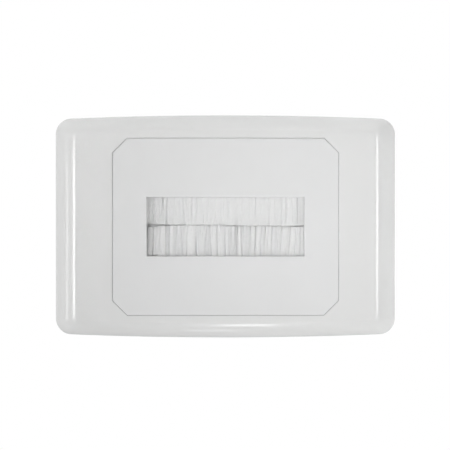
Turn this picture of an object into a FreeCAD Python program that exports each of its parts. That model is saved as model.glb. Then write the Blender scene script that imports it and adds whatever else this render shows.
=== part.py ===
"""Brush cable plate: a two-piece wall plate whose slot is closed by two rows of bristles.

The frame has +X to the right and +Z up, with the wall plane at Y = 0 and the face towards -Y.
The origin is on the wall plane, midway between the two wall screws.
A height is a distance from the wall plane towards the face, so that Y = -height.
"""

import FreeCAD
import Part
import Sketcher
import math
import os
from FreeCAD import Placement, Rotation, Vector
from types import SimpleNamespace

# Driving dimensions in millimetres: alias, number, what it measures
SIZES = [
    ("plate_width", 116, "cover, across its straight sides"),
    ("plate_height", 76, "cover, between the crowns of its bowed edges"),
    ("plate_depth", 10, "wall plane to face"),
    ("bow_radius", 1280, "plan radius of the bowed top and bottom edges"),
    ("corner_radius", 5.5, "plan radius of the rim's corners"),
    ("flat_corner", 1.2, "plan radius where the roll meets the flat face"),
    ("roll_side", 7.2, "width of the rolled edge at the left and right"),
    ("roll_top", 5.2, "width of the rolled edge at the top and bottom"),
    ("roll_depth", 6, "height of the rolled edge"),
    ("cover_wall", 2, "wall of the cover"),
    ("fit_gap", 0.25, "gap all round between the cover's wall and the flange"),
    ("panel_gap", 0.1, "joint all round between the cover's opening and the panel"),
    ("edge_break", 0.15, "radius on the edges that show at the joint and slot"),
    ("face_top", 2.65, "flat face of the cover above and below the panel"),
    ("panel_chamfer", 5, "leg of the panel's cut corners"),
    ("panel_wall", 2, "side wall behind the panel"),
    ("panel_face", 2.5, "thickness of the panel"),
    ("flange_thickness", 2, "flange that lies on the wall"),
    ("screw_spacing", 84, "between the wall screw centres"),
    ("screw_clear", 3.5, "side of the panel to the nearest wall screw's centre"),
    ("screw_hole", 4.2, "diameter of the wall screw holes"),
    ("screw_pad", 8.4, "diameter of the raised pad round each hole"),
    ("screw_pad_rise", 1, "height of that pad above the flange"),
    ("catch_offset", 20, "snap catches, from the middle"),
    ("catch_width", 7, "snap catch, along the edge"),
    ("catch_reach", 1.1, "snap catch, inwards from the crown of the wall"),
    ("catch_height", 0.9, "snap catch, off the wall"),
    ("catch_gap", 0.15, "catch to the ledge that it holds"),
    ("slot_side", 11.6, "panel at either end of the cable slot"),
    ("slot_height", 20.2, "cable slot"),
    ("strip_lap", 1, "brush strip past either end of the slot"),
    ("channel_height", 5, "folded channel, mouth to back"),
    ("channel_depth", 4, "folded channel, front to rear"),
    ("channel_sheet", 0.6, "sheet that the channel is folded from"),
    ("channel_bend", 0.5, "outside radius of the channel's folds"),
    ("channel_lap", 0.6, "mouth of the channel behind the slot's edge"),
    ("lip_reach", 0.25, "crimp of each lip"),
    ("lip_height", 1.2, "length of each crimped lip"),
    ("wire_diameter", 1, "wire that the bristles are folded over"),
    ("wire_cover", 0.5, "bristle between wire and channel back"),
    ("row_gap", 0.5, "between the tips of the two rows"),
    ("tip_clear", 0.3, "spread bristle tips to the panel and retainer"),
    ("tuft_count", 30, "tufts along a row"),
    ("tuft_gap", 0.1, "between neighbouring tufts at the mouth"),
    ("seat_gap", 0.2, "strip to the ribs round it"),
    ("rib_wall", 1.2, "ribs round the strips"),
    ("rib_relief", 1, "ribs round the strips, short of the retainer"),
    ("boss_diameter", 4.8, "screw bosses"),
    ("boss_overlap", 0.3, "boss into the rib beside it"),
    ("retainer_thickness", 2, "retainer frame"),
    ("retainer_margin", 0.4, "retainer past the bosses"),
    ("retainer_edge", 1, "retainer past the channels"),
    ("retainer_corner", 3, "radius of the retainer's corners"),
    ("window_margin", 0.3, "retainer's window, past the slot"),
    ("retainer_hole", 3, "diameter of the retainer's screw holes"),
    ("shank_diameter", 2.2, "retainer screw"),
    ("shank_length", 5.6, "retainer screw, under its head"),
    ("shank_tip", 1, "length of the screw's point"),
    ("thread_gap", 0.02, "screw to boss, all round"),
    ("tip_gap", 0.3, "screw point to the end of its hole"),
    ("head_diameter", 4.8, "retainer screw"),
    ("head_height", 1.2, "retainer screw"),
    ("head_edge", 0.5, "height of the head's side under its dome"),
    ("recess_width", 0.8, "arms of the cross recess"),
    ("recess_length", 2.6, "cross recess, tip to tip"),
    ("recess_depth", 0.7, "cross recess"),
]

# Shape of the rolled edge: a superellipse quarter, cut into this many steps for the outside and inside
ROLL_EXPONENT = 1.5
OUTER_STEPS = 8
INNER_STEPS = 4

# How much shorter the leg of an octagon's cut corner is, for each unit that the octagon shrinks all round
CHAMFER_SHRINK = 2 - math.sqrt(2)

# Points closer than this lie on the same plane
TOUCHING = 1e-4

doc = FreeCAD.newDocument("brush_cable_plate")


def make_sheet():
    """The spreadsheet that holds the driving dimensions, one alias a row."""
    made = doc.addObject("Spreadsheet::Sheet", "sizes")
    for row, (alias, number, note) in enumerate(SIZES, start=1):
        made.set(f"A{row}", alias)
        made.set(f"B{row}", str(number))
        made.set(f"C{row}", note)
        made.setAlias(f"B{row}", alias)
    doc.recompute()
    return made


sheet = make_sheet()


class Length:
    """A sum of sheet sizes, each times a factor. It has a value, and an expression that stays bound."""

    def __init__(self, factors):
        self.factors = factors

    def __add__(self, other):
        names = [*self.factors, *(name for name in other.factors if name not in self.factors)]
        return Length({n: self.factors.get(n, 0) + other.factors.get(n, 0) for n in names})

    def __mul__(self, number):
        return Length({name: factor * number for name, factor in self.factors.items()})

    def __truediv__(self, number):
        return self * (1 / number)

    def __neg__(self):
        return self * -1

    def __sub__(self, other):
        return self + -other

    @property
    def value(self):
        return sum(factor * float(sheet.get(name)) for name, factor in self.factors.items())

    @property
    def expression(self):
        return " + ".join(f"({factor}) * sizes.{name}" for name, factor in self.factors.items())


dim = SimpleNamespace(**{alias: Length({alias: 1}) for alias, _, _ in SIZES})
nought = dim.plate_width * 0

# Heights and places that several pieces share
panel_width = dim.screw_spacing - dim.screw_clear * 2
panel_height = dim.plate_height - (dim.roll_top + dim.face_top) * 2
panel_back = dim.plate_depth - dim.panel_face
slot_width = panel_width - dim.slot_side * 2
strip_length = slot_width + dim.strip_lap * 2
channel_rear = panel_back - dim.channel_depth
retainer_rear = channel_rear - dim.retainer_thickness
mouth = dim.slot_height / 2 + dim.channel_lap
channel_back = mouth + dim.channel_height
seat_half_length = strip_length / 2 + dim.seat_gap
seat_half_height = channel_back + dim.seat_gap
boss_x = seat_half_length + dim.rib_wall + dim.boss_diameter / 2 - dim.boss_overlap
boss_z = mouth + dim.channel_height / 2
boss_places = [(boss_x * right, boss_z * up) for right in (-1, 1) for up in (-1, 1)]
ledge_height = dim.catch_height + dim.catch_gap


def new_body(label):
    body = doc.addObject("PartDesign::Body", label)
    body.Label = label
    return body


def new_sketch(body, name, plane="XZ_Plane", offset=nought):
    """A sketch on one of the body's origin planes, moved along the plane's normal.
    On XZ the normal is -Y, so the offset is a height."""
    sketch = body.newObject("Sketcher::SketchObject", name)
    support = next(f for f in body.Origin.OriginFeatures if f.Role == plane)
    sketch.AttachmentSupport = (support, [""])
    sketch.MapMode = "FlatFace"
    sketch.setExpression("AttachmentOffset.Base.z", offset.expression)
    return sketch


def bind(sketch, kind, geometry, length, end=None):
    """Adds one dimension: of the geometry itself, or of one of its points from the sketch's origin."""
    places = (geometry,) if end is None else (-1, 1, geometry, end)
    index = sketch.addConstraint(Sketcher.Constraint(kind, *places, length.value))
    sketch.setExpression(f"Constraints[{index}]", length.expression)


def draw_polygon(sketch, corners):
    """A closed outline of straight lines through the corners, each a pair of lengths."""
    points = [Vector(x.value, y.value, 0) for x, y in corners]
    count = len(points)
    lines = [
        sketch.addGeometry(Part.LineSegment(points[i], points[(i + 1) % count]))
        for i in range(count)
    ]
    for i, (x, y) in enumerate(corners):
        sketch.addConstraint(Sketcher.Constraint("Coincident", lines[i - 1], 2, lines[i], 1))
        bind(sketch, "DistanceX", lines[i], x, end=1)
        bind(sketch, "DistanceY", lines[i], y, end=1)


def draw_rectangle(sketch, left, right, low, high):
    draw_polygon(sketch, [(left, low), (right, low), (right, high), (left, high)])


def draw_octagon(sketch, half_width, half_height, chamfer):
    """A rectangle with its four corners cut at 45 degrees."""
    x_cut = half_width - chamfer
    z_cut = half_height - chamfer
    quarter = [(half_width, z_cut), (x_cut, half_height)]
    half = quarter + [(-x, z) for x, z in reversed(quarter)]
    draw_polygon(sketch, half + [(-x, -z) for x, z in half])


def draw_circle(sketch, x, y, diameter):
    centre = Vector(x.value, y.value, 0)
    ring = sketch.addGeometry(Part.Circle(centre, Vector(0, 0, 1), diameter.value / 2))
    bind(sketch, "Diameter", ring, diameter)
    bind(sketch, "DistanceX", ring, x, end=3)
    bind(sketch, "DistanceY", ring, y, end=3)


def draw_plate_outline(sketch, half_width, half_height, radius):
    """Straight sides, bowed top and bottom in two halves each, and corner arcs tangent to both."""
    width, height, corner, bow = (
        length.value for length in (half_width, half_height, radius, dim.bow_radius)
    )
    corner_x = width - corner
    corner_z = height - bow + math.sqrt((bow - corner) ** 2 - corner_x**2)
    lean = math.atan2(corner_x, corner_z - height + bow)
    upright = math.pi / 2
    normal = Vector(0, 0, 1)

    def arc(x, z, arc_radius, start, end):
        ring = Part.Circle(Vector(x, z, 0), normal, arc_radius)
        return sketch.addGeometry(Part.ArcOfCircle(ring, start, end))

    def side(x, start, end):
        return sketch.addGeometry(Part.LineSegment(Vector(x, start, 0), Vector(x, end, 0)))

    right = side(width, -corner_z, corner_z)
    top_right = arc(corner_x, corner_z, corner, 0, upright - lean)
    top_east = arc(0, height - bow, bow, upright - lean, upright)
    top_west = arc(0, height - bow, bow, upright, upright + lean)
    top_left = arc(-corner_x, corner_z, corner, upright + lean, 2 * upright)
    left = side(-width, corner_z, -corner_z)
    bottom_left = arc(-corner_x, -corner_z, corner, 2 * upright, 3 * upright - lean)
    bottom_west = arc(0, bow - height, bow, 3 * upright - lean, 3 * upright)
    bottom_east = arc(0, bow - height, bow, 3 * upright, 3 * upright + lean)
    bottom_right = arc(corner_x, -corner_z, corner, 3 * upright + lean, 4 * upright)

    upper = [right, top_right, top_east, top_west, top_left]
    lower = [left, bottom_left, bottom_west, bottom_east, bottom_right]
    ring = upper + lower
    for before, after in zip(ring, ring[1:] + ring[:1]):
        sketch.addConstraint(Sketcher.Constraint("Tangent", before, 2, after, 1))
    for line, place in ((right, half_width), (left, -half_width)):
        sketch.addConstraint(Sketcher.Constraint("Vertical", line))
        bind(sketch, "DistanceX", line, place, end=1)
    bow_centre = half_height - dim.bow_radius
    for half, other, place in ((top_east, top_west, bow_centre), (bottom_west, bottom_east, -bow_centre)):
        sketch.addConstraint(Sketcher.Constraint("PointOnObject", half, 3, -2))
        sketch.addConstraint(Sketcher.Constraint("PointOnObject", half, 2, -2))
        bind(sketch, "DistanceY", half, place, end=3)
        bind(sketch, "Radius", half, dim.bow_radius)
        bind(sketch, "Radius", other, dim.bow_radius)
    for turn in (top_right, top_left, bottom_left, bottom_right):
        bind(sketch, "Radius", turn, radius)


def pad(body, name, sketch, length, symmetric=False):
    """Adds material from the sketch along its normal, or half to each side."""
    feature = body.newObject("PartDesign::Pad", name)
    feature.Profile = sketch
    feature.setExpression("Length", length.expression)
    feature.SideType = "Symmetric" if symmetric else "One side"
    return feature


def cut(body, name, sketch, length):
    """Takes material away from the sketch along its normal, which on XZ is towards the face."""
    feature = body.newObject("PartDesign::Pocket", name)
    feature.Profile = sketch
    feature.setExpression("Length", length.expression)
    feature.Reversed = True
    return feature


def round_edges(body, name, base, radius, wanted):
    """Fillets the edges of the base feature whose points all pass the test."""
    doc.recompute()
    names = [
        f"Edge{number}"
        for number, edge in enumerate(base.Shape.Edges, start=1)
        if all(wanted(point) for point in edge.discretize(3))
    ]
    feature = body.newObject("PartDesign::Fillet", name)
    feature.Base = (base, names)
    feature.setExpression("Radius", radius.expression)
    return feature


def near(number, target):
    return abs(number - target) < TOUCHING


def roll_sections(body, name, start, inset, steps):
    """Sketches of the plate's outline up the rolled edge, from a starting height to the flat face.
    The inset moves the outline inwards and the face down."""
    rise = dim.plate_depth - inset - start
    sketches = []
    for step in range(steps + 1):
        turn = step / steps * math.pi / 2
        outwards = max(math.cos(turn), 0) ** (2 / ROLL_EXPONENT)
        upwards = math.sin(turn) ** (2 / ROLL_EXPONENT)
        sketch = new_sketch(body, f"{name}_{step}", offset=start + rise * upwards)
        draw_plate_outline(
            sketch,
            dim.plate_width / 2 - inset - dim.roll_side * (1 - outwards),
            dim.plate_height / 2 - inset - dim.roll_top * (1 - outwards),
            dim.flat_corner * (1 - outwards) + (dim.corner_radius - inset) * outwards,
        )
        sketches.append(sketch)
    return sketches


def loft(body, kind, name, sketches):
    feature = body.newObject(kind, name)
    feature.Profile = sketches[0]
    feature.Sections = sketches[1:]
    return feature


def make_cover():
    """The moulded surround: a hollow shell with a rolled edge, an octagonal opening and four catches."""
    body = new_body("surround_cover")
    half_width = dim.plate_width / 2
    half_height = dim.plate_height / 2
    rim = new_sketch(body, "rim")
    draw_plate_outline(rim, half_width, half_height, dim.corner_radius)
    rim_height = dim.plate_depth - dim.roll_depth
    pad(body, "rim_wall", rim, rim_height)
    roll = roll_sections(body, "roll", rim_height, nought, OUTER_STEPS)
    loft(body, "PartDesign::AdditiveLoft", "rolled_edge", roll)

    inside = new_sketch(body, "inside")
    inside_radius = dim.corner_radius - dim.cover_wall
    draw_plate_outline(inside, half_width - dim.cover_wall, half_height - dim.cover_wall, inside_radius)
    cut(body, "hollow_rim", inside, dim.flange_thickness)
    hollow = roll_sections(body, "hollow", dim.flange_thickness, dim.cover_wall, INNER_STEPS)
    loft(body, "PartDesign::SubtractiveLoft", "hollow_roll", hollow)

    opening = new_sketch(body, "opening")
    draw_octagon(
        opening,
        panel_width / 2 + dim.panel_gap,
        panel_height / 2 + dim.panel_gap,
        dim.panel_chamfer + dim.panel_gap * CHAMFER_SHRINK,
    )
    opened = cut(body, "panel_opening", opening, dim.plate_depth)

    face = dim.plate_depth.value
    open_x = (panel_width / 2 + dim.panel_gap).value
    open_z = (panel_height / 2 + dim.panel_gap).value

    def at_opening(point):
        within = abs(point.x) < open_x + TOUCHING and abs(point.z) < open_z + TOUCHING
        return near(point.y, -face) and within

    round_edges(body, "opening_edge", opened, dim.edge_break, at_opening)

    wall = half_height - dim.cover_wall
    for side, name in ((-1, "left"), (1, "right")):
        sketch = new_sketch(body, f"{name}_catches", "YZ_Plane", dim.catch_offset * side)
        for up in (-1, 1):
            # A wedge, sunk in the wall, that slopes in towards the flange and is square where it holds
            draw_polygon(
                sketch,
                [
                    (nought, (wall + dim.cover_wall / 2) * up),
                    (nought, (wall - dim.catch_reach / 2) * up),
                    (-dim.catch_height, (wall - dim.catch_reach) * up),
                    (-dim.catch_height, (wall + dim.cover_wall / 2) * up),
                ],
            )
        pad(body, f"{name}_catch_wedges", sketch, dim.catch_width, symmetric=True)
    return body


def make_grid_plate():
    """The moulded base: a flange on the wall, and a hollow octagonal panel with the cable slot."""
    body = new_body("grid_plate")
    margin = dim.cover_wall + dim.fit_gap
    flange = new_sketch(body, "flange")
    flange_radius = dim.corner_radius - margin
    flange_half_height = dim.plate_height / 2 - margin
    draw_plate_outline(flange, dim.plate_width / 2 - margin, flange_half_height, flange_radius)
    pad(body, "flange_plate", flange, dim.flange_thickness)

    panel = new_sketch(body, "panel")
    draw_octagon(panel, panel_width / 2, panel_height / 2, dim.panel_chamfer)
    pad(body, "panel_block", panel, dim.plate_depth)
    pads = new_sketch(body, "screw_pads")
    holes = new_sketch(body, "screw_holes")
    for side in (-1, 1):
        draw_circle(pads, dim.screw_spacing / 2 * side, nought, dim.screw_pad)
        draw_circle(holes, dim.screw_spacing / 2 * side, nought, dim.screw_hole)
    pad_height = dim.flange_thickness + dim.screw_pad_rise
    pad(body, "screw_pad_rings", pads, pad_height)
    cut(body, "wall_screw_holes", holes, pad_height)
    hollow = new_sketch(body, "hollow")
    draw_octagon(
        hollow,
        panel_width / 2 - dim.panel_wall,
        panel_height / 2 - dim.panel_wall,
        dim.panel_chamfer - dim.panel_wall * CHAMFER_SHRINK,
    )
    cut(body, "panel_hollow", hollow, panel_back)

    rebates = new_sketch(body, "rebates")
    half_rebate = dim.catch_width / 2 + dim.fit_gap * 2
    rebate_start = dim.plate_height / 2 - dim.cover_wall - dim.catch_reach - dim.fit_gap
    for side in (-1, 1):
        for up in (-1, 1):
            middle = dim.catch_offset * side
            draw_rectangle(
                rebates,
                middle - half_rebate,
                middle + half_rebate,
                rebate_start * up,
                dim.plate_height / 2 * up,
            )
    cut(body, "catch_rebates", rebates, ledge_height)

    ribs = new_sketch(body, "ribs", offset=channel_rear + dim.rib_relief)
    outer_x = seat_half_length + dim.rib_wall
    outer_z = seat_half_height + dim.rib_wall
    draw_rectangle(ribs, -outer_x, outer_x, -outer_z, outer_z)
    draw_rectangle(ribs, -seat_half_length, seat_half_length, -seat_half_height, seat_half_height)
    pad(body, "strip_ribs", ribs, dim.channel_depth - dim.rib_relief)
    bosses = new_sketch(body, "bosses", offset=channel_rear)
    pilots = new_sketch(body, "pilots", offset=channel_rear)
    for x, z in boss_places:
        draw_circle(bosses, x, z, dim.boss_diameter)
        draw_circle(pilots, x, z, dim.shank_diameter + dim.thread_gap * 2)
    pad(body, "screw_bosses", bosses, dim.channel_depth)
    cut(body, "pilot_holes", pilots, dim.shank_length - dim.retainer_thickness + dim.tip_gap)

    slot = new_sketch(body, "slot")
    half_slot_width = slot_width / 2
    half_slot_height = dim.slot_height / 2
    draw_rectangle(slot, -half_slot_width, half_slot_width, -half_slot_height, half_slot_height)
    slotted = cut(body, "cable_slot", slot, dim.plate_depth)
    face = dim.plate_depth.value
    round_edges(body, "face_edges", slotted, dim.edge_break, lambda point: near(point.y, -face))
    return body


def make_channel(label, up):
    """A folded sheet-metal channel, open towards the middle of the slot, with crimped lips."""
    body = new_body(label)
    front = -panel_back
    rear = -channel_rear
    lip_top = mouth + dim.lip_height
    inner_front = front + dim.channel_sheet
    inner_rear = rear - dim.channel_sheet
    inner_back = channel_back - dim.channel_sheet
    outline = [
        (front + dim.lip_reach, mouth),
        (front, lip_top),
        (front, channel_back),
        (rear, channel_back),
        (rear, lip_top),
        (rear - dim.lip_reach, mouth),
        (inner_rear - dim.lip_reach, mouth),
        (inner_rear, lip_top),
        (inner_rear, inner_back),
        (inner_front, inner_back),
        (inner_front, lip_top),
        (inner_front + dim.lip_reach, mouth),
    ]
    section = new_sketch(body, f"{label}_section", "YZ_Plane")
    draw_polygon(section, [(y, z * up) for y, z in outline])
    folded = pad(body, f"{label}_fold", section, strip_length, symmetric=True)
    back = channel_back.value * up
    faces = (front.value, rear.value)

    def at_fold(point):
        return near(point.z, back) and any(near(point.y, face) for face in faces)

    round_edges(body, f"{label}_bends", folded, dim.channel_bend, at_fold)
    return body


def wire_height():
    """Distance of the wire's axis from the middle of the slot."""
    return channel_back - dim.channel_sheet - dim.wire_cover - dim.wire_diameter / 2


def make_wire(label, up):
    """The wire in the back of a channel that the bristles are folded over."""
    wire = doc.addObject("Part::Cylinder", label)
    wire.Label = label
    wire.Placement = Placement(Vector(), Rotation(Vector(0, 1, 0), 90))
    wire.setExpression("Radius", (dim.wire_diameter / 2).expression)
    wire.setExpression("Height", strip_length.expression)
    wire.setExpression("Placement.Base.x", (-strip_length / 2).expression)
    wire.setExpression("Placement.Base.y", (-(panel_back - dim.channel_depth / 2)).expression)
    wire.setExpression("Placement.Base.z", (wire_height() * up).expression)
    return wire


def scatter(index, salt):
    """A number from -1 to 1 that looks random and is the same each time."""
    mixed = math.sin(12.9898 * index + 78.233 * salt) * 43758.5453
    return 2 * (mixed - math.floor(mixed)) - 1


# How tufts stray from an even row, as shares of their pitch
TUFT_SHIFT = 0.22
TUFT_LEAN = 0.16
TUFT_TAPER = 0.86
TUFT_TAPER_SPREAD = 0.1
TIP_DRAW_IN = 0.985
TIP_SCATTER = 0.35


def tuft_section(left, right, middle, thickness, z):
    """A flat six-sided outline of a tuft, thicker in the middle than at its sides."""
    centre = (left + right) / 2
    thick = thickness / 2
    thin = thickness / 3
    points = [
        Vector(left, middle - thin, z),
        Vector(centre, middle - thick, z),
        Vector(right, middle - thin, z),
        Vector(right, middle + thin, z),
        Vector(centre, middle + thick, z),
        Vector(left, middle + thin, z),
    ]
    return Part.makePolygon(points + points[:1])


def make_bristles(label, up, salt):
    """One row of bristles: a block crimped in the channel, and a row of uneven tufts below it."""
    count = int(dim.tuft_count.value)
    length = strip_length.value
    pitch = length / count
    middle = -(panel_back - dim.channel_depth / 2).value
    inside = (dim.channel_depth / 2 - dim.channel_sheet).value
    crimped = inside - dim.lip_reach.value
    mouth_z = mouth.value * up
    lip_z = (mouth + dim.lip_height).value * up
    root_z = (channel_back - dim.channel_sheet).value * up
    half_gap = dim.tuft_gap.value / 2
    tip_thickness = dim.channel_depth - dim.tip_clear * 2

    section = [(inside, root_z), (inside, lip_z), (crimped, mouth_z)]
    outline = section + [(-y, z) for y, z in reversed(section)]
    corners = [Vector(-length / 2, middle + y, z) for y, z in outline]
    block = Part.Face(Part.makePolygon(corners + corners[:1])).extrude(Vector(length, 0, 0))
    wire = Part.makeCylinder(
        dim.wire_diameter.value / 2,
        length,
        Vector(-length / 2, middle, wire_height().value * up),
        Vector(1, 0, 0),
    )

    def boundary(index):
        stray = TUFT_SHIFT * scatter(index, salt) if 0 < index < count else 0
        return -length / 2 + pitch * (index + stray)

    tufts = []
    for index in range(count):
        left = boundary(index) + half_gap
        right = boundary(index + 1) - half_gap
        centre = (left + right) / 2
        taper = TUFT_TAPER + TUFT_TAPER_SPREAD * scatter(index, salt + 1)
        tip_half = (right - left) / 2 * taper
        tip_centre = centre * TIP_DRAW_IN + pitch * TUFT_LEAN * scatter(index, salt + 2)
        tip_z = (dim.row_gap.value / 2 + TIP_SCATTER * abs(scatter(index, salt + 3))) * up
        at_mouth = tuft_section(left, right, middle, 2 * crimped, mouth_z)
        at_tip = tuft_section(
            tip_centre - tip_half,
            tip_centre + tip_half,
            middle,
            tip_thickness.value,
            tip_z,
        )
        tufts.append(Part.makeLoft([at_mouth, at_tip], True, True))
    row = doc.addObject("Part::Feature", label)
    row.Label = label
    row.Shape = block.cut(wire).multiFuse(tufts).removeSplitter()
    row.Placement = Placement()
    return row


def make_retainer():
    """The moulded frame behind the strips, which clamps them against the panel."""
    body = new_body("brush_retainer")
    half_length = boss_x + dim.boss_diameter / 2 + dim.retainer_margin
    half_height = channel_back + dim.retainer_edge
    window_x = slot_width / 2 + dim.window_margin
    window_z = dim.slot_height / 2 + dim.window_margin
    frame = new_sketch(body, "frame", offset=retainer_rear)
    draw_rectangle(frame, -half_length, half_length, -half_height, half_height)
    draw_rectangle(frame, -window_x, window_x, -window_z, window_z)
    for x, z in boss_places:
        draw_circle(frame, x, z, dim.retainer_hole)
    plate = pad(body, "frame_plate", frame, dim.retainer_thickness)
    corner = (half_length.value, half_height.value)

    def at_corner(point):
        return near(abs(point.x), corner[0]) and near(abs(point.z), corner[1])

    round_edges(body, "frame_corners", plate, dim.retainer_corner, at_corner)
    return body


def make_screw():
    """One pan-head self-tapping screw, its head on Y = 0 and its point towards -Y."""
    body = new_body("screw_pattern")
    shank = dim.shank_diameter / 2
    head = dim.head_diameter / 2
    profile = new_sketch(body, "screw_profile", "XY_Plane")
    draw_polygon(
        profile,
        [
            (nought, -dim.shank_length),
            (shank, -(dim.shank_length - dim.shank_tip)),
            (shank, nought),
            (head, nought),
            (head, dim.head_edge),
            (head - dim.head_edge, dim.head_height),
            (nought, dim.head_height),
        ],
    )
    turned = body.newObject("PartDesign::Revolution", "turned")
    turned.Profile = profile
    turned.ReferenceAxis = (profile, ["V_Axis"])
    doc.recompute()

    cross = new_sketch(body, "cross", offset=-dim.head_height)
    arm = dim.recess_length / 2
    half = dim.recess_width / 2
    quarter = [(arm, half), (half, half), (half, arm)]
    upper = quarter + [(-x, z) for x, z in reversed(quarter)]
    draw_polygon(cross, upper + [(-x, -z) for x, z in upper])
    cut(body, "cross_recess", cross, dim.recess_depth)
    return body


def make_screws():
    """The four retainer screws, set with their heads on the back of the retainer."""
    pattern = make_screw()
    doc.recompute()
    seat = -retainer_rear.value
    copies = [pattern.Shape.translated(Vector(x.value, seat, z.value)) for x, z in boss_places]
    screws = doc.addObject("Part::Feature", "retainer_screws")
    screws.Label = "retainer_screws"
    screws.Shape = Part.makeCompound(copies)
    screws.Placement = Placement()
    return screws


def check(pieces):
    """Stops before anything is written if an object failed or a piece isn't sound."""
    bad = [o.Name for o in doc.Objects if {"Invalid", "Error"} & set(o.State)]
    for piece in pieces:
        shape = piece.Shape
        if shape.isNull() or not shape.isValid() or not shape.Solids or shape.Volume <= 0:
            bad.append(piece.Label)
    if bad:
        raise SystemExit(f"these failed: {sorted(set(bad))}")


pieces = [
    make_cover(),
    make_grid_plate(),
    make_channel("upper_channel", 1),
    make_channel("lower_channel", -1),
    make_wire("upper_core_wire", 1),
    make_wire("lower_core_wire", -1),
    make_bristles("upper_bristles", 1, 1),
    make_bristles("lower_bristles", -1, 7),
    make_retainer(),
    make_screws(),
]
doc.recompute()
check(pieces)
os.makedirs("parts", exist_ok=True)
for piece in pieces:
    piece.Shape.exportStep(os.path.join("parts", f"{piece.Label}.step"))
    print(piece.Label, len(piece.Shape.Solids), "solid, mm3", round(piece.Shape.Volume, 1))
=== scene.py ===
import math

import bpy
import numpy as np
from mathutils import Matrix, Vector


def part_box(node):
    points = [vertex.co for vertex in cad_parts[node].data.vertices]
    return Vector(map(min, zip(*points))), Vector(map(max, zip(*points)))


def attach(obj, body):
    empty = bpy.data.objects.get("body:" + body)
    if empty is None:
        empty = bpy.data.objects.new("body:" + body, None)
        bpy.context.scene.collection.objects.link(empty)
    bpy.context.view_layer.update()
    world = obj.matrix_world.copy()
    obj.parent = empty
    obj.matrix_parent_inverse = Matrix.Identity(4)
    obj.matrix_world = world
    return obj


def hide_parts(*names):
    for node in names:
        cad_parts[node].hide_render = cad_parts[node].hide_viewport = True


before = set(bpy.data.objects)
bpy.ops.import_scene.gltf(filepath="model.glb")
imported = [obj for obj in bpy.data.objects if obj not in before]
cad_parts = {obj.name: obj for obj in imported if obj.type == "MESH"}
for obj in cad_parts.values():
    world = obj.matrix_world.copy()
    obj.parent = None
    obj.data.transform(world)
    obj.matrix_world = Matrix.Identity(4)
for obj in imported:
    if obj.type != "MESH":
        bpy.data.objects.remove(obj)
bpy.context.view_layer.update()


# Base plate
# The moulded base that two screws hold to the wall. Its octagonal panel, with the cable slot, comes
# forward through the surround. The flange, ribs and bosses behind stay as they leave the mould.

class Signal:
    """A value on its way through a material's nodes. Arithmetic on it adds Math nodes."""

    def __init__(self, tree, socket=None):
        self.tree = tree
        self.socket = socket

    def node(self, kind, settings=None, sockets=None, output=0):
        """Adds a node of any kind: its settings first, then the values or links of its sockets."""
        made = self.tree.nodes.new(kind)
        for name, value in (settings or {}).items():
            setattr(made, name, value)
        for name, value in (sockets or {}).items():
            if isinstance(value, Signal):
                self.tree.links.new(value.socket, made.inputs[name])
            else:
                made.inputs[name].default_value = value
        return Signal(self.tree, made.outputs[output] if made.outputs else None)

    def maths(self, operation, first, second):
        return self.node("ShaderNodeMath", {"operation": operation}, {0: first, 1: second})

    def __add__(self, other):
        return self.maths("ADD", self, other)

    def __radd__(self, other):
        return self.maths("ADD", other, self)

    def __mul__(self, other):
        return self.maths("MULTIPLY", self, other)

    def __rmul__(self, other):
        return self.maths("MULTIPLY", other, self)


# The Mix node's colour sockets: two inputs and the output
MIX_A = 6
MIX_B = 7
MIX_COLOUR = 2


def start_material(name):
    material = bpy.data.materials.new(name)
    material.use_nodes = True
    material.node_tree.nodes.clear()
    return material, Signal(material.node_tree)


def speckle(nodes, place, scale, detail):
    return nodes.node("ShaderNodeTexNoise", sockets={"Vector": place, "Scale": scale, "Detail": detail})


def blend_colours(nodes, share, first, second):
    sockets = {"Factor": share, MIX_A: (*first, 1), MIX_B: (*second, 1)}
    return nodes.node("ShaderNodeMix", {"data_type": "RGBA"}, sockets, MIX_COLOUR)


flow_scale = 60.0
swell_scale = 330.0
grain_scale = 4200.0
flow_dulling = 0.03
grain_dulling = 0.02
plastic_ior = 1.5


def moulded_plastic(name, colour, shade, roughness, ripple, grain):
    """White plastic from a polished mould: faint flow clouds, a slight ripple and a very fine grain."""
    material, nodes = start_material(name)
    place = nodes.node("ShaderNodeTexCoord", output="Object")
    flow = speckle(nodes, place, flow_scale, detail=3.0)
    swell = speckle(nodes, place, swell_scale, detail=1.0)
    fine = speckle(nodes, place, grain_scale, detail=2.0)
    swollen = nodes.node(
        "ShaderNodeBump",
        sockets={"Strength": 1.0, "Distance": ripple, "Height": swell},
    )
    surface = nodes.node(
        "ShaderNodeBump",
        sockets={"Strength": 1.0, "Distance": grain, "Height": fine, "Normal": swollen},
    )
    shader = nodes.node(
        "ShaderNodeBsdfPrincipled",
        sockets={
            "Base Color": blend_colours(nodes, flow, colour, shade),
            "Roughness": roughness + flow_dulling * flow + grain_dulling * fine,
            "IOR": plastic_ior,
            "Normal": surface,
        },
    )
    nodes.node("ShaderNodeOutputMaterial", sockets={"Surface": shader})
    return material


def dress(node_name, material):
    for material_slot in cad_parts[node_name].material_slots:
        material_slot.material = material


plastic_white = (0.814, 0.817, 0.817)
plastic_shade = (0.784, 0.788, 0.788)
panel_roughness = 0.055
gloss_ripple = 0.000012
gloss_grain = 0.0000006
panel_finish = moulded_plastic(
    "plate_plastic", plastic_white, plastic_shade, panel_roughness, gloss_ripple, gloss_grain
)
dress("grid_plate", panel_finish)


# Brush channels
# A channel of thin aluminium strip is folded round the root of each brush and closed on it. It keeps
# the long rolling marks of the strip and lies in a pocket behind the panel.

mark_depth = 0.000004
mark_strength = 0.6
mark_share = 0.7
cloud_share = 0.3
mark_dulling = 0.16
cloud_dulling = 0.08
metal_cloud_scale = 140.0


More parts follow.
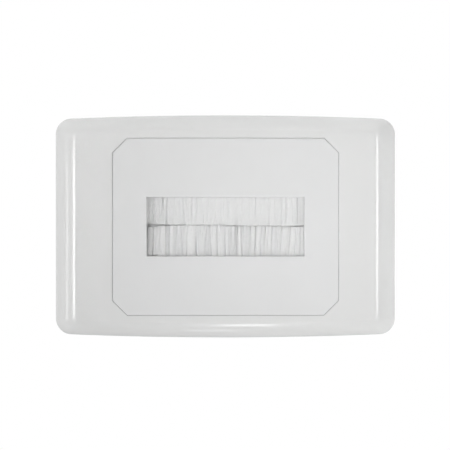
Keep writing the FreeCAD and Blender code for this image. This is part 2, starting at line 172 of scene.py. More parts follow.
def rolled_metal(name, light, dark, roughness, along, across):
    """Bare metal with fine marks drawn along X, paler and duller by turns."""
    material, nodes = start_material(name)
    place = nodes.node("ShaderNodeTexCoord", output="Object")
    drawn = nodes.node(
        "ShaderNodeVectorMath",
        {"operation": "MULTIPLY"},
        {0: place, 1: (along, across, across)},
    )
    marks = speckle(nodes, drawn, 1.0, detail=4.0)
    clouds = speckle(nodes, place, metal_cloud_scale, detail=2.0)
    scored = nodes.node(
        "ShaderNodeBump",
        sockets={"Strength": mark_strength, "Distance": mark_depth, "Height": marks},
    )
    shader = nodes.node(
        "ShaderNodeBsdfPrincipled",
        sockets={
            "Base Color": blend_colours(nodes, mark_share * marks + cloud_share * clouds, light, dark),
            "Metallic": 1.0,
            "Roughness": roughness + mark_dulling * marks + cloud_dulling * clouds,
            "Normal": scored,
        },
    )
    nodes.node("ShaderNodeOutputMaterial", sockets={"Surface": shader})
    return material


channel_light = (0.82, 0.83, 0.84)
channel_dark = (0.70, 0.71, 0.73)
channel_roughness = 0.24
channel_marks = (60.0, 5200.0)
channel_finish = rolled_metal(
    "channel_metal", channel_light, channel_dark, channel_roughness, *channel_marks
)
for row in ("upper", "lower"):
    dress(f"{row}_channel", channel_finish)


# Core wires
# A bright drawn steel wire lies in the back of each channel. The strands of the brush are bent over
# it, so that closing the channel locks them.

wire_light = (0.66, 0.66, 0.65)
wire_dark = (0.50, 0.50, 0.50)
wire_roughness = 0.18
wire_marks = (90.0, 9000.0)
wire_finish = rolled_metal("wire_steel", wire_light, wire_dark, wire_roughness, *wire_marks)
for row in ("upper", "lower"):
    dress(f"{row}_core_wire", wire_finish)


# Bristles
# Two rows of white nylon strands meet in the slot. Each strand is bent over the core wire like a
# hairpin and pinched by the channel; its two free legs lean into uneven tufts with partings between.

strand_radius = 0.0001
strand_layers = 8
strands_per_layer = 188
strand_count = strands_per_layer * strand_layers
bundle_count = 90
leg_stations = (1.0, 0.985, 0.6, 0.25, 0.0)
fold_turns = (0.0, 45.0, 90.0, 135.0, 180.0)
strand_corners = (45.0, 135.0, 225.0, 315.0)

# The line along which the two rows meet: a place along the slot, the line's height there, and how far
# the tips of each row stop short of it
meeting_places = (-0.0270, -0.0248, -0.0225, -0.0170, -0.0110, 0.0, 0.0130, 0.0210, 0.0262, 0.0272)
meeting_heights = (0.00030, 0.00040, 0.00050, 0.00050, 0.00042, 0.00034, 0.00015, 0.00005, 0.00025, 0.00025)
meeting_gaps = (0.00042, 0.00040, 0.00024, 0.00012, 0.00003, 0.0, 0.00002, 0.00007, 0.00009, 0.00004)

# Strands left of this place lie loose
loose_end = -0.0248
loose_stray = 0.00035
combed_stray = 0.00006

# Chance in single strands: how far a tip strays along the row, a leg sways, and the heights of the front
# and rear tips vary; how many strands are worn, and how much shorter those are
tip_stray = 0.00004
rear_tip_stray = 0.0003
leg_sway = 0.00005
front_tip_spread = 0.0001
rear_tip_spread = 0.0002
worn_share = 0.04
worn_least = 0.0002
worn_most = 0.0012

# The rear legs pass the meeting line by this much and stand this far back from the row's middle. No front
# tip lies deeper than the last value, which is behind the middle.
rear_overlap = 0.0006
rear_stand = 0.0013
deepest_tip = -0.001

# How late a leg leans over, how much less the strands further back are combed, and how square a tuft's
# front is
lean_power = 1.2
comb_power = 1.5
crown_power = 3

# What a strand's tone is made of: painted shading by its tuft's front, its bundle and chance
tuft_shading_share = 0.8
bundle_share = 0.1
strand_share = 0.1

# The tufts from left to right. Each has its left edge at the channel and at the tips, the width of the
# parting there at the channel and at the tips, and how far its front stands out from the row's middle. A
# tuft that stands out further is painted paler and one lying back painted darker: painted light and shade
# for the light that a proud tuft catches.
upper_tufts = (
    (-0.0279, -0.0279, 0.00000, 0.00000, 0.0014), (-0.0255, -0.0253, 0.00004, 0.00004, 0.0014),
    (-0.0249, -0.0247, 0.00004, 0.00010, 0.0006), (-0.0214, -0.0212, 0.00018, 0.00000, 0.0006),
    (-0.0196, -0.0203, 0.00005, 0.00024, 0.0006), (-0.0173, -0.0175, 0.00005, 0.00003, 0.0007),
    (-0.0146, -0.0140, 0.00006, 0.00008, 0.0005), (-0.0134, -0.0131, 0.00010, 0.00000, 0.0008),
    (-0.0113, -0.0114, 0.00005, 0.00003, 0.0011), (-0.0096, -0.0100, 0.00010, 0.00006, 0.0013),
    (-0.0041, -0.0048, 0.00004, 0.00004, 0.0014), (-0.0018, -0.0014, 0.00006, 0.00004, 0.0015),
    (0.0014, 0.0010, 0.00005, 0.00000, 0.0015), (0.0038, 0.0036, 0.00004, 0.00006, 0.0015),
    (0.0050, 0.0054, 0.00006, 0.00000, 0.0016), (0.0103, 0.0102, 0.00010, 0.00003, 0.0016),
    (0.0132, 0.0129, 0.00008, 0.00006, 0.0016), (0.0146, 0.0151, 0.00006, 0.00003, 0.0016),
    (0.0170, 0.0170, 0.00007, 0.00003, 0.0016), (0.0193, 0.0189, 0.00006, 0.00005, 0.0014),
    (0.0206, 0.0208, 0.00009, 0.00002, 0.0016), (0.0246, 0.0246, 0.00007, 0.00004, 0.0014),
    (0.0258, 0.0260, 0.00002, 0.00006, 0.0016),
)
lower_tufts = (
    (-0.0279, -0.0279, 0.00000, 0.00000, 0.0008), (-0.0263, -0.0263, 0.00000, 0.00000, 0.0015),
    (-0.0249, -0.0246, 0.00020, 0.00022, 0.0015), (-0.0221, -0.0221, 0.00000, 0.00012, 0.0016),
    (-0.0205, -0.0205, 0.00006, 0.00003, 0.0008), (-0.0191, -0.0188, 0.00005, 0.00002, 0.0013),
    (-0.0167, -0.0167, 0.00004, 0.00001, 0.0012), (-0.0145, -0.0150, 0.00012, 0.00006, 0.0013),
    (-0.0132, -0.0127, 0.00016, 0.00010, 0.0015), (-0.0100, -0.0102, 0.00026, 0.00008, 0.0013),
    (-0.0067, -0.0061, 0.00020, 0.00000, 0.0011), (-0.0046, -0.0051, 0.00012, 0.00000, 0.0014),
    (-0.0029, -0.0024, 0.00028, 0.00003, 0.0014), (0.0001, -0.0001, 0.00022, 0.00002, 0.0013),
    (0.0016, 0.0015, 0.00006, 0.00002, 0.0011), (0.0039, 0.0042, 0.00014, 0.00026, 0.0016),
    (0.0057, 0.0056, 0.00022, 0.00008, 0.0012), (0.0085, 0.0084, 0.00005, 0.00045, 0.0014),
    (0.0099, 0.0105, 0.00024, 0.00026, 0.0016), (0.0121, 0.0122, 0.00014, 0.00005, 0.0013),
    (0.0133, 0.0138, 0.00000, 0.00050, 0.0016), (0.0158, 0.0159, 0.00008, 0.00004, 0.0012),
    (0.0186, 0.0195, 0.00000, 0.00008, 0.0016), (0.0205, 0.0212, 0.00004, 0.00000, 0.0012),
    (0.0218, 0.0225, 0.00000, 0.00050, 0.0016), (0.0237, 0.0242, 0.00006, 0.00000, 0.0012),
    (0.0260, 0.0259, 0.00006, 0.00002, 0.0014),
)

bristles_low, bristles_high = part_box("upper_bristles")
wire_low, wire_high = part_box("upper_core_wire")
row_half = bristles_high.x - strand_radius
row_middle = (bristles_low.y + bristles_high.y) / 2
row_half_depth = (bristles_high.y - bristles_low.y) / 2 - strand_radius
channel_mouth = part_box("upper_channel")[0].z
wire_axis = (wire_low.z + wire_high.z) / 2
fold_inner = (wire_high.z - wire_low.z) / 2 + strand_radius
fold_outer = bristles_high.z - wire_axis - strand_radius
crimp_half_depth = 0.00105


def across_tuft(edges, gaps, tuft, share):
    """Where strands lie along the row, from their share of a tuft's width between its two partings."""
    ends = np.append(edges, row_half)
    margins = np.append(gaps / 2 + np.minimum(gaps, strand_radius), 0)
    left = ends[tuft] + margins[tuft]
    right = ends[tuft + 1] - margins[tuft + 1]
    return left + share * (right - left)


def gathered(places, bundle, gather):
    """Draws the strands of each small bundle towards its middle."""
    sums = np.bincount(bundle, weights=places)
    middles = sums / np.maximum(np.bincount(bundle), 1)
    return places + (middles[bundle] - places) * gather


def leg_path(chance, roots, tips, mouth_depth, tip_depth, flare, side, tip_heights):
    """One leg of every strand, from its tip to the channel: rows of points. The side is -1 in front."""
    sway = chance.normal(0, leg_sway, len(roots))
    path = []
    for station in leg_stations:
        x = roots + (tips - roots) * station ** lean_power + sway * math.sin(math.pi * station)
        y = row_middle + side * (mouth_depth + (tip_depth - mouth_depth) * station ** flare)
        z = channel_mouth + (tip_heights - channel_mouth) * station
        path.append(np.stack([np.clip(x, -row_half, row_half), y, z], axis=1))
    return path


def brush_row(name, up, tufts, habit, material, seed):
    """All the strands of one row as one mesh, with a tone and painted shading for each strand."""
    chance = np.random.default_rng(seed)
    root_edges, tip_edges, root_gaps, tip_gaps, fronts = np.array(tufts).T
    places = ((np.arange(strand_count) + chance.random(strand_count)) / strand_count * 2 - 1) * row_half
    middle_edges = np.append((root_edges + tip_edges) / 2, row_half)
    tuft = np.clip(np.searchsorted(middle_edges, places) - 1, 0, len(tufts) - 1)
    share = (places - middle_edges[tuft]) / (middle_edges[tuft + 1] - middle_edges[tuft])
    bundle = np.searchsorted(np.sort(chance.uniform(-row_half, row_half, bundle_count)), places)
    layers = np.tile(np.arange(strand_layers), (strand_count // strand_layers, 1))
    layer = chance.permuted(layers, axis=1).ravel()
    depth = ((layer + chance.random(strand_count)) / strand_layers) ** habit["crowding"]
    combed = depth ** comb_power
    roots = places + (across_tuft(root_edges, root_gaps, tuft, share) - places) * combed
    parted = gathered(across_tuft(tip_edges, tip_gaps, tuft, share), bundle, habit["gather"])
    tips = places + (parted - places) * combed + chance.normal(0, tip_stray, strand_count)

    crown = 1 - habit["roundness"] * np.abs(2 * share - 1) ** crown_power
    bundle_push = chance.normal(0, habit["unevenness"], bundle_count + 1)[bundle]
    front = fronts[tuft] * (crown + bundle_push)
    stray = np.where(places < loose_end, loose_stray, combed_stray)
    strayed_depth = front * depth + chance.normal(0, stray, strand_count)
    tip_depth = np.clip(strayed_depth, deepest_tip, row_half_depth)
    mouth_depth = np.clip(habit["mouth_share"] * front, 0, crimp_half_depth) * depth

    flare = habit["flare"]
    gap = np.interp(tips, meeting_places, meeting_gaps)
    start = np.interp(tips, meeting_places, meeting_heights) * up + gap
    front_heights = start + np.abs(chance.normal(0, front_tip_spread, strand_count))
    front_heights += chance.normal(0, habit["raggedness"], bundle_count + 1)[bundle]
    worn = chance.random(strand_count) < worn_share
    front_heights += worn * chance.uniform(worn_least, worn_most, strand_count)
    rear_heights = start - gap - rear_overlap + np.abs(chance.normal(0, rear_tip_spread, strand_count))
    rear_tips = places + chance.normal(0, rear_tip_stray, strand_count)
    front_leg = leg_path(chance, roots, tips, mouth_depth, tip_depth, flare, -1, front_heights)
    rear_mouth = crimp_half_depth * depth
    rear_depth = rear_stand * depth
    rear_leg = leg_path(chance, places, rear_tips, rear_mouth, rear_depth, flare, 1, rear_heights)
    fold_radius = fold_inner + (fold_outer - fold_inner) * depth
    fold = []
    for turn in fold_turns:
        y = row_middle - fold_radius * math.cos(math.radians(turn))
        z = wire_axis + fold_radius * math.sin(math.radians(turn))
        fold.append(np.stack([places, y, z], axis=1))

    path = np.stack(front_leg + fold + rear_leg[::-1], axis=1)
    path[:, :, 2] *= up
    rings = path.shape[1]
    heading = np.gradient(path, axis=1)
    sideways = np.stack([np.zeros((strand_count, rings)), -heading[:, :, 2], heading[:, :, 1]], axis=2)
    sideways /= np.linalg.norm(sideways, axis=2, keepdims=True)
    lengthways = np.array([1.0, 0.0, 0.0])
    corners = []
    for corner in strand_corners:
        turn = math.radians(corner)
        corners.append(path + strand_radius * (math.cos(turn) * lengthways + math.sin(turn) * sideways))
    points = np.stack(corners, axis=2).reshape(-1, 3)

    sides = len(strand_corners)
    first = np.arange(strand_count)[:, None, None] * rings * sides
    ring = np.arange(rings - 1)[None, :, None] * sides
    side = np.arange(sides)[None, None, :]
    following = (side + 1) % sides
    quads = [first + ring + side, first + ring + following]
    quads += [first + ring + sides + following, first + ring + sides + side]
    walls = np.stack(np.broadcast_arrays(*quads), axis=3).reshape(-1, 4)
    starts = first[:, 0, 0][:, None] + np.arange(sides)[None, :]
    ends = starts[:, ::-1] + (rings - 1) * sides
    faces = np.concatenate([walls, starts, ends])
    if up > 0:
        faces = faces[:, ::-1]

    mesh = bpy.data.meshes.new(name)
    mesh.from_pydata(points.tolist(), [], faces.tolist())
    mesh.shade_smooth()
    bundle_tone = chance.uniform(0, 1, bundle_count + 1)[bundle]
    # Painted shading: a tuft's strands are paler the further its front stands out and darker the further it
    # lies back.
    tuft_painted_shading = (fronts[tuft] - fronts.min()) / (fronts.max() - fronts.min())
    strand_chance = chance.random(strand_count)
    tone_and_shading = tuft_shading_share * tuft_painted_shading + bundle_share * bundle_tone + strand_share * strand_chance
    dullest, brightest = habit["tone_and_shading_range"]
    strand_tone_and_shading = dullest + (brightest - dullest) * tone_and_shading
    tone_and_painted_shading = mesh.attributes.new("tone_and_painted_shading", "FLOAT", "POINT")
    tone_and_painted_shading.data.foreach_set("value", np.repeat(strand_tone_and_shading, rings * sides).astype(np.float32))
    mesh.materials.append(material)
    piece = bpy.data.objects.new(name, mesh)
    bpy.context.scene.collection.objects.link(piece)
    return piece


# The two ends of the strands' tones; the darker end also serves as painted shade on tufts that lie back,
# the paler as painted light on proud ones.
nylon_pale_and_lit = (0.985, 0.987, 0.983)
nylon_dark_and_shaded = (0.74, 0.745, 0.745)
nylon_cloud_scale = 900.0
nylon_tone_and_shading_share = 0.75
nylon_cloud_share = 0.25
nylon_roughness = 0.36
nylon_dulling = 0.14
nylon_ior = 1.53
nylon_sheen = 0.3
nylon_sheen_roughness = 0.4


def nylon_strand(name, light, dark):
    """Satin white nylon: each strand has its own tone and painted shading, with faint clouds over it."""
    material, nodes = start_material(name)
    place = nodes.node("ShaderNodeTexCoord", output="Object")
    tone_and_painted_shading = nodes.node("ShaderNodeAttribute", {"attribute_name": "tone_and_painted_shading"}, output="Fac")
    clouds = speckle(nodes, place, nylon_cloud_scale, detail=2.0)
    paleness_and_shading = nylon_tone_and_shading_share * tone_and_painted_shading + nylon_cloud_share * clouds
    shader = nodes.node(
        "ShaderNodeBsdfPrincipled",
        sockets={
            "Base Color": blend_colours(nodes, paleness_and_shading, dark, light),
            "Roughness": nylon_roughness + nylon_dulling * clouds,
            "IOR": nylon_ior,
            "Sheen Weight": nylon_sheen,
            "Sheen Roughness": nylon_sheen_roughness,
        },
    )
    nodes.node("ShaderNodeOutputMaterial", sockets={"Surface": shader})
    return material


# How each row lies: how tightly its strands crowd to the front, gather into bundles and round off into
# tufts, how uneven the bundles are and how ragged their tips, how far the front stands out at the
# channel, how soon it then comes forward, and the range of its tones with their painted shading. The
# lower row's wide range paints its tufts that lie back much darker.
upper_habit = {
    "crowding": 0.15, "gather": 0.05, "roundness": 0.1, "unevenness": 0.03, "raggedness": 0.00004,
    "mouth_share": 0.75, "flare": 0.3, "tone_and_shading_range": (0.8, 1.0),
}
lower_habit = {
    "crowding": 0.2, "gather": 0.2, "roundness": 0.38, "unevenness": 0.03, "raggedness": 0.00007,
    "mouth_share": 0.05, "flare": 0.7, "tone_and_shading_range": (0.1, 1.3),
}
upper_seed = 11
lower_seed = 23
nylon = nylon_strand("bristle_nylon", nylon_pale_and_lit, nylon_dark_and_shaded)
upper_row = brush_row("upper_bristle_strands", 1, upper_tufts, upper_habit, nylon, upper_seed)
lower_row = brush_row("lower_bristle_strands", -1, lower_tufts, lower_habit, nylon, lower_seed)
for row, node_name in ((upper_row, "upper_bristles"), (lower_row, "lower_bristles")):
    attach(row, "root")
    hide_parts(node_name)


# Brush retainer
# A flat moulded frame that clamps both channels in their pocket from behind. It never shows from the
# front, so its mould was only sand-blasted and it comes out matt.

retainer_white = (0.84, 0.84, 0.83)
retainer_shade = (0.80, 0.80, 0.79)
retainer_roughness = 0.42
retainer_ripple = 0.00001
retainer_grain = 0.000006
retainer_finish = moulded_plastic(
    "retainer_plastic", retainer_white, retainer_shade, retainer_roughness, retainer_ripple, retainer_grain
)
dress("brush_retainer", retainer_finish)


# Retainer screws
# Four small pan-head self-tapping screws with a cross recess, zinc plated. They drive through the
# retainer into the bosses of the base plate.

zinc_light = (0.78, 0.79, 0.80)
zinc_dark = (0.58, 0.59, 0.60)
zinc_cloud_scale = 700.0
zinc_pit_scale = 6000.0
zinc_pit_depth = 0.000006
zinc_pit_strength = 0.5
zinc_roughness = 0.2
zinc_dulling = 0.2


def plated_steel(name, light, dark):
    """Zinc plate: bright, with the cloudy patches and tiny pits that the bath leaves."""
    material, nodes = start_material(name)
    place = nodes.node("ShaderNodeTexCoord", output="Object")
    clouds = speckle(nodes, place, zinc_cloud_scale, detail=3.0)
    pits = speckle(nodes, place, zinc_pit_scale, detail=2.0)
    pitted = nodes.node(
        "ShaderNodeBump",
        sockets={"Strength": zinc_pit_strength, "Distance": zinc_pit_depth, "Height": pits},
    )
    shader = nodes.node(
        "ShaderNodeBsdfPrincipled",
        sockets={
            "Base Color": blend_colours(nodes, clouds, light, dark),
            "Metallic": 1.0,
            "Roughness": zinc_roughness + zinc_dulling * clouds,
            "Normal": pitted,
        },
    )
    nodes.node("ShaderNodeOutputMaterial", sockets={"Surface": shader})
    return material


dress("retainer_screws", plated_steel("screw_steel", zinc_light, zinc_dark))


# Surround cover
# The frame that clips on last and hides the wall screws: one shell moulded in gloss white, bowed along
# its top and bottom, with a soft rolled edge. Four wedges inside its rim hook behind the base's flange.

surround_low, surround_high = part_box("surround_cover")
plate_half_width = surround_high.x
plate_half_height = surround_high.z
plate_depth = -surround_low.y
bow_radius = 1.280
corner_radius = 0.0055
flat_corner = 0.0012
roll_side = 0.0072
roll_top = 0.0052
roll_depth = 0.006
roll_exponent = 1.5
cover_wall = 0.002
flange_thickness = 0.002
panel_half_width = 0.0385
panel_half_height = 0.03015
panel_chamfer = 0.005
panel_gap = 0.000105
opening_shift = -0.000025
edge_break = 0.00015
rim_break = 0.00012
edge_support = 0.00008
catch_offset = 0.020
catch_width = 0.007
catch_reach = 0.0011
catch_height = 0.0009
catch_root = 0.0003
surround_white = (0.815, 0.817, 0.812)
surround_shade = (0.785, 0.788, 0.783)
surround_roughness = 0.045

side_steps = 12
corner_steps = 16
bow_steps = 48
outer_roll_steps = 56
inner_roll_steps = 14
break_steps = 5
sharp_angle = math.radians(38)


def arc_points(centre, radius, first, last, steps):
    turns = np.linspace(first, last, steps, endpoint=False)
    return [(centre[0] + radius * math.cos(t), centre[1] + radius * math.sin(t)) for t in turns]


def line_points(first, last, steps):
    """A straight run, with its points closer together towards the ends."""
    shares = (1 - np.cos(np.linspace(0, math.pi, steps, endpoint=False))) / 2
    return [(first[0] + (last[0] - first[0]) * s, first[1] + (last[1] - first[1]) * s) for s in shares]


def plate_loop(half_width, half_height, radius):
    """The plate's outline: straight sides, round corners, and a long bow along the top and bottom."""
    corner_x = half_width - radius
    bow_centre = half_height - bow_radius
    corner_z = bow_centre + math.sqrt((bow_radius - radius) ** 2 - corner_x ** 2)
    lean = math.atan2(corner_x, corner_z - bow_centre)
    quarter = math.pi / 2
    loop = line_points((half_width, -corner_z), (half_width, corner_z), side_steps)
    loop += arc_points((corner_x, corner_z), radius, 0, quarter - lean, corner_steps)
    loop += arc_points((0, bow_centre), bow_radius, quarter - lean, quarter + lean, bow_steps)
    loop += arc_points((-corner_x, corner_z), radius, quarter + lean, 2 * quarter, corner_steps)
    loop += line_points((-half_width, corner_z), (-half_width, -corner_z), side_steps)
    loop += arc_points((-corner_x, -corner_z), radius, 2 * quarter, 3 * quarter - lean, corner_steps)
    loop += arc_points((0, -bow_centre), bow_radius, 3 * quarter - lean, 3 * quarter + lean, bow_steps)
    loop += arc_points((corner_x, -corner_z), radius, 3 * quarter + lean, 4 * quarter, corner_steps)
    return loop


def opening_loop(grow):
    """The octagonal opening, grown outwards all round, with as many points as the plate's outline. It
    sits a hair to the left of the panel."""
    across = panel_half_width + panel_gap + grow
    tall = panel_half_height + panel_gap + grow
    leg = panel_chamfer + (panel_gap + grow) * (2 - math.sqrt(2))
    corners = [
        (across, leg - tall), (across, tall - leg), (across - leg, tall), (leg - across, tall),
        (-across, tall - leg), (-across, leg - tall), (leg - across, -tall), (across - leg, -tall),
    ]
    steps = [side_steps, corner_steps, bow_steps, corner_steps] * 2
    loop = []
    for index, count in enumerate(steps):
        loop += line_points(corners[index], corners[(index + 1) % len(corners)], count)
    return [(x + opening_shift, z) for x, z in loop]


def roll_loops(start, inset, steps):
    """Outlines up the rolled edge, each with its height, from the rim to the flat face."""
    loops = []
    for turn in np.linspace(0, math.pi / 2, steps + 1):
        outwards = max(math.cos(turn), 0.0) ** (2 / roll_exponent)
        upwards = math.sin(turn) ** (2 / roll_exponent)
        loop = plate_loop(
            plate_half_width - inset - roll_side * (1 - outwards),
            plate_half_height - inset - roll_top * (1 - outwards),
            flat_corner * (1 - outwards) + (corner_radius - inset) * outwards,
        )
        loops.append((loop, start + (plate_depth - inset - start) * upwards))
    return loops


def surround_loops():
    """Every outline of the shell in order: up the outside, over the face and back down the inside."""
    rim_width = plate_half_width - rim_break
    rim_height = plate_half_height - rim_break
    loops = [(plate_loop(rim_width, rim_height, corner_radius - rim_break), 0)]
    loops.append((plate_loop(plate_half_width, plate_half_height, corner_radius), rim_break))
    loops += roll_loops(plate_depth - roll_depth, 0, outer_roll_steps)
    flat_width = plate_half_width - roll_side - edge_support
    flat_height = plate_half_height - roll_top - edge_support
    loops.append((plate_loop(flat_width, flat_height, flat_corner), plate_depth))
    loops.append((opening_loop(edge_break + edge_support), plate_depth))
    for turn in np.linspace(0, math.pi / 2, break_steps + 1):
        grow = edge_break * (1 - math.sin(turn))
        loops.append((opening_loop(grow), plate_depth - edge_break * (1 - math.cos(turn))))
    loops.append((opening_loop(0), plate_depth - cover_wall))
    loops += roll_loops(flange_thickness, cover_wall, inner_roll_steps)[::-1]
    inner_width = plate_half_width - cover_wall
    inner_height = plate_half_height - cover_wall
    loops.append((plate_loop(inner_width, inner_height, corner_radius - cover_wall), 0))
    return loops


def add_catches(points, faces):
    """The four wedges inside the rim. Each is sunk in the wall that it stands on, and its back dips
    there, clear of the rim's own back face."""
    wall = plate_half_height - cover_wall
    sunk = wall + cover_wall / 2
    section = [
        (-catch_height / 2, sunk), (0, wall - catch_root), (0, wall - catch_reach / 2),
        (-catch_height, wall - catch_reach), (-catch_height, sunk),
    ]
    count = len(section)
    walls = [tuple(range(count)), tuple(range(2 * count - 1, count - 1, -1))]
    for corner in range(count):
        after = (corner + 1) % count
        walls.append((corner, corner + count, after + count, after))
    for side in (-1, 1):
        for up in (-1, 1):
            first = len(points)
            for end in (-1, 1):
                x = catch_offset * side + catch_width / 2 * end
                points += [(x, y, z * up) for y, z in section]
            order = 1 if up > 0 else -1
            faces += [tuple(first + corner for corner in wall_face[::order]) for wall_face in walls]


def surround_mesh():
    points = []
    faces = []
    loops = surround_loops()
    count = len(loops[0][0])
    for loop, height in loops:
        points += [(x, -height, z) for x, z in loop]
    for index in range(len(loops)):
        here = index * count
        onward = (index + 1) % len(loops) * count
        for point in range(count):
            after = (point + 1) % count
            faces.append((here + point, here + after, onward + after, onward + point))
    add_catches(points, faces)
    mesh = bpy.data.meshes.new("surround_shell")
    mesh.from_pydata(points, [], faces)
    mesh.shade_smooth()
    mesh.set_sharp_from_angle(angle=sharp_angle)
    return mesh


surround_shell = bpy.data.objects.new("surround_shell", surround_mesh())
bpy.context.scene.collection.objects.link(surround_shell)
surround_finish = moulded_plastic(
    "surround_plastic", surround_white, surround_shade, surround_roughness, gloss_ripple, gloss_grain
)
surround_shell.data.materials.append(surround_finish)
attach(surround_shell, "root")
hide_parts("surround_cover")


# Floor
# A plain pale disc well below the plate, out of the main view. It takes the plate's soft shadow and
# fades to white towards its rim; from below it is clear.

floor_drop = -0.20
floor_radius = 2.4
floor_rings = 24
floor_points = 96
floor_pale = (0.86, 0.86, 0.86)
floor_shade = (0.84, 0.84, 0.84)
mottle_scale = 30.0
fade_start = 0.15
fade_end = 0.75


def floor_mesh():
    points = [(0, 0, floor_drop)]
    faces = []
    for ring in range(1, floor_rings + 1):
        radius = floor_radius * (ring / floor_rings) ** 2
        for x, y in arc_points((0, 0), radius, 0, 2 * math.pi, floor_points):
            points.append((x, y, floor_drop))
    for point in range(floor_points):
        after = (point + 1) % floor_points
        faces.append((0, 1 + point, 1 + after))
        for ring in range(floor_rings - 1):
            inner = 1 + ring * floor_points
            outer = inner + floor_points
            faces.append((inner + point, outer + point, outer + after, inner + after))
    mesh = bpy.data.meshes.new("floor")
    mesh.from_pydata(points, [], faces)
    return mesh


def floor_finish():
    material, nodes = start_material("floor_pale")
    place = nodes.node("ShaderNodeTexCoord", output="Object")
    level = nodes.node("ShaderNodeVectorMath", {"operation": "MULTIPLY"}, {0: place, 1: (1, 1, 0)})
    radius = nodes.node("ShaderNodeVectorMath", {"operation": "LENGTH"}, {0: level}, "Value")
    fade = nodes.node(
        "ShaderNodeMapRange",
        {"interpolation_type": "SMOOTHSTEP"},
        {"Value": radius, "From Min": fade_start, "From Max": fade_end},
    )
    mottle = speckle(nodes, place, mottle_scale, detail=2.0)
    matt = nodes.node(
        "ShaderNodeBsdfDiffuse",
        sockets={"Color": blend_colours(nodes, mottle, floor_pale, floor_shade)},
    )
    white = nodes.node("ShaderNodeEmission", sockets={"Color": (1, 1, 1, 1), "Strength": 1.0})
    clear = nodes.node("ShaderNodeBsdfTransparent")
    camera_ray = nodes.node("ShaderNodeLightPath", output="Is Camera Ray")
    glossy_ray = nodes.node("ShaderNodeLightPath", output="Is Glossy Ray")
    below = nodes.node("ShaderNodeNewGeometry", output="Backfacing")
    bleached = fade * (camera_ray + glossy_ray)
    seen = nodes.node("ShaderNodeMixShader", sockets={0: bleached, 1: matt, 2: white})
    shader = nodes.node("ShaderNodeMixShader", sockets={0: below, 1: seen, 2: clear})
    nodes.node("ShaderNodeOutputMaterial", sockets={"Surface": shader})
    return material


floor = bpy.data.objects.new("floor", floor_mesh())
bpy.context.scene.collection.objects.link(floor)
floor.data.materials.append(floor_finish())


# Studio light
# A white room with soft keys in front, a broad fill at the left and lamps behind that lift the rolled
# edge. A strip and two spots brighten the left flat and the top corners. Boxes at the sides light the
# plate and draw the bright lines along its rolled edge; small ones there and below only draw lines.

middle = Vector((0, 0, 0))


def around(bearing, rise, distance):
    """A place seen from the plate: bearing to the right and rise upwards, in degrees."""
    turn = math.radians(bearing)
    tilt = math.radians(rise)
    ahead = math.cos(tilt) * distance
    return Vector((math.sin(turn) * ahead, -math.cos(turn) * ahead, math.sin(tilt) * distance))


def soft_box(name, place, width, height, radiance, aim=middle, spread=180.0, light=True, line=False):
    """An area lamp. It can light the plate, draw a line on its gloss, or both."""
    lamp = bpy.data.lights.new(name, "AREA")
    lamp.shape = "RECTANGLE"
    lamp.size = width
    lamp.size_y = height
    lamp.spread = math.radians(spread)
    lamp.energy = math.pi * radiance * width * height
    box = bpy.data.objects.new(name, lamp)
    bpy.context.scene.collection.objects.link(box)
    box.location = place
    box.rotation_mode = "QUATERNION"
    box.rotation_quaternion = (place - aim).to_track_quat("Z", "Y")
    box.visible_camera = False
    box.visible_diffuse = light
    box.visible_glossy = line


key_distance = 0.60
key_size = 0.12
low_key_aim = Vector((0.045, 0, 0))
right_key_aim = Vector((0.055, 0, 0.005))
left_key_aim = Vector((-0.045, 0, 0.040))
left_strip_aim = Vector((-0.0495, 0, 0.006))
top_left_aim = Vector((-0.036, 0, 0.038))
low_key_place = Vector((0.10, -key_distance, -0.06))
right_key_place = Vector((0, -key_distance, 0))
left_key_place = Vector((-0.10, -key_distance, 0.12))
far_left_bearing = -66.5
in_front = Vector((0, -key_distance, 0))
soft_box("low_key", low_key_place, key_size, key_size, 0.232, low_key_aim, spread=22)
soft_box("right_key", right_key_place, key_size, key_size, 0.196, right_key_aim, spread=22)
soft_box("left_key", left_key_place, key_size, key_size, 0.135, left_key_aim, spread=20)
soft_box("left_fill", around(far_left_bearing, 0, 1.0), 0.30, 0.30, 5.0)
soft_box("left_strip", left_strip_aim + in_front, 0.004, 0.08, 0.09, left_strip_aim, spread=2.0)
soft_box("top_left_spot", top_left_aim + in_front, 0.02, 0.02, 0.057, top_left_aim, spread=4.8)

under_rim_aim = Vector((0.05, 0, -0.038))
corner_aim = Vector((0.056, -0.005, 0.034))
top_rim_place = Vector((0, 0.10, 0.60))
under_rim_place = Vector((0.25, 0.05, -0.17))
corner_place = Vector((0.51, -0.156, 0.397))
soft_box("top_rim", top_rim_place, 0.60, 0.50, 1.57)
soft_box("under_rim", under_rim_place, 0.20, 0.20, 3.09, under_rim_aim)
soft_box("corner_rim", corner_place, 0.04, 0.04, 0.154, corner_aim, spread=8.6)

left_bearing = -35.2
left_distance = 1.2
left_glow = 8.0
left_width = 0.29
right_place = around(39.1, -1.2, 0.55)
line_only = {"light": False, "line": True}
left_tip_place = around(left_bearing, 2.15, left_distance)
soft_box("left_box", around(left_bearing, -3.4, left_distance), left_width, 0.192, left_glow, line=True)
soft_box("left_box_top", around(left_bearing, 3.8, left_distance), left_width, 0.108, left_glow)
soft_box("left_tip", left_tip_place, 0.13, 0.04, left_glow, **line_only)
soft_box("right_box", right_place, 0.078, 0.092, 9.5, line=True)

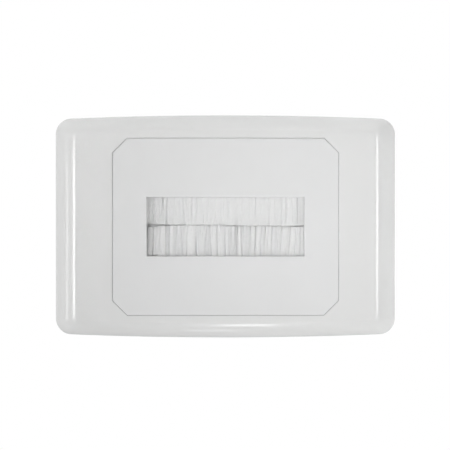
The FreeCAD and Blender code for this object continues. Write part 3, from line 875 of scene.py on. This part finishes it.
low_rise = -55
low_aim = Vector((0.0085, 0, 0))
under_aim = Vector((-0.0052, 0, 0))
far_left_place = around(far_left_bearing, -4.2, 0.90)
low_line_place = around(0, low_rise, 0.20) + low_aim
low_core_place = around(0, low_rise, 0.19) + low_aim
under_place = around(0, -86.5, 0.18) + under_aim
soft_box("far_left_line", far_left_place, 0.105, 0.175, 3.0, **line_only)
soft_box("low_line", low_line_place, 0.050, 0.06, 2.2, low_aim, **line_only)
soft_box("low_core", low_core_place, 0.022, 0.057, 4.6, low_aim, **line_only)
soft_box("under_line", under_place, 0.022, 0.026, 2.5, under_aim, **line_only)

world_level = 0.397
world_lean = (0, 0.203, 0)
world = bpy.data.worlds.new("studio")
world.use_nodes = True
world.node_tree.nodes.clear()
nodes = Signal(world.node_tree)
direction = nodes.node("ShaderNodeTexCoord", output="Generated")
lean = nodes.node(
    "ShaderNodeVectorMath",
    {"operation": "DOT_PRODUCT"},
    {0: direction, 1: world_lean},
    "Value",
)
camera_ray = nodes.node("ShaderNodeLightPath", output="Is Camera Ray")
glossy_ray = nodes.node("ShaderNodeLightPath", output="Is Glossy Ray")
through_ray = nodes.node("ShaderNodeLightPath", output="Is Transmission Ray")
pure_white = (1, 1, 1, 1)
soft = nodes.node("ShaderNodeBackground", sockets={"Color": pure_white, "Strength": world_level + lean})
white = nodes.node("ShaderNodeBackground", sockets={"Color": pure_white, "Strength": 1.0})
looked_at = camera_ray + glossy_ray + through_ray
room = nodes.node("ShaderNodeMixShader", sockets={0: looked_at, 1: soft, 2: white})
nodes.node("ShaderNodeOutputWorld", sockets={"Surface": room})
bpy.context.scene.world = world


# Camera
# It stands square in front of the plate with a long lens, a touch to the left and above, and takes
# in the same width as the photograph.

sensor_width = 36.0
camera_distance = 1.5
view_width = 0.15395
camera_bearing = math.radians(-0.5)
camera_rise = math.radians(1.0)
aim = Vector((-0.00015, -0.004, 0.00049))

camera_data = bpy.data.cameras.new("camera")
camera_data.sensor_width = sensor_width
camera_data.lens = sensor_width * camera_distance / view_width
camera_data.clip_start = 0.1
camera_data.clip_end = 10.0
camera = bpy.data.objects.new("camera", camera_data)
bpy.context.scene.collection.objects.link(camera)
backwards = Vector((
    math.sin(camera_bearing) * math.cos(camera_rise),
    -math.cos(camera_bearing) * math.cos(camera_rise),
    math.sin(camera_rise),
))
camera.location = aim + backwards * camera_distance
camera.rotation_mode = "QUATERNION"
camera.rotation_quaternion = backwards.to_track_quat("Z", "Y")
bpy.context.scene.camera = camera
bpy.context.scene.view_settings.view_transform = "Standard"
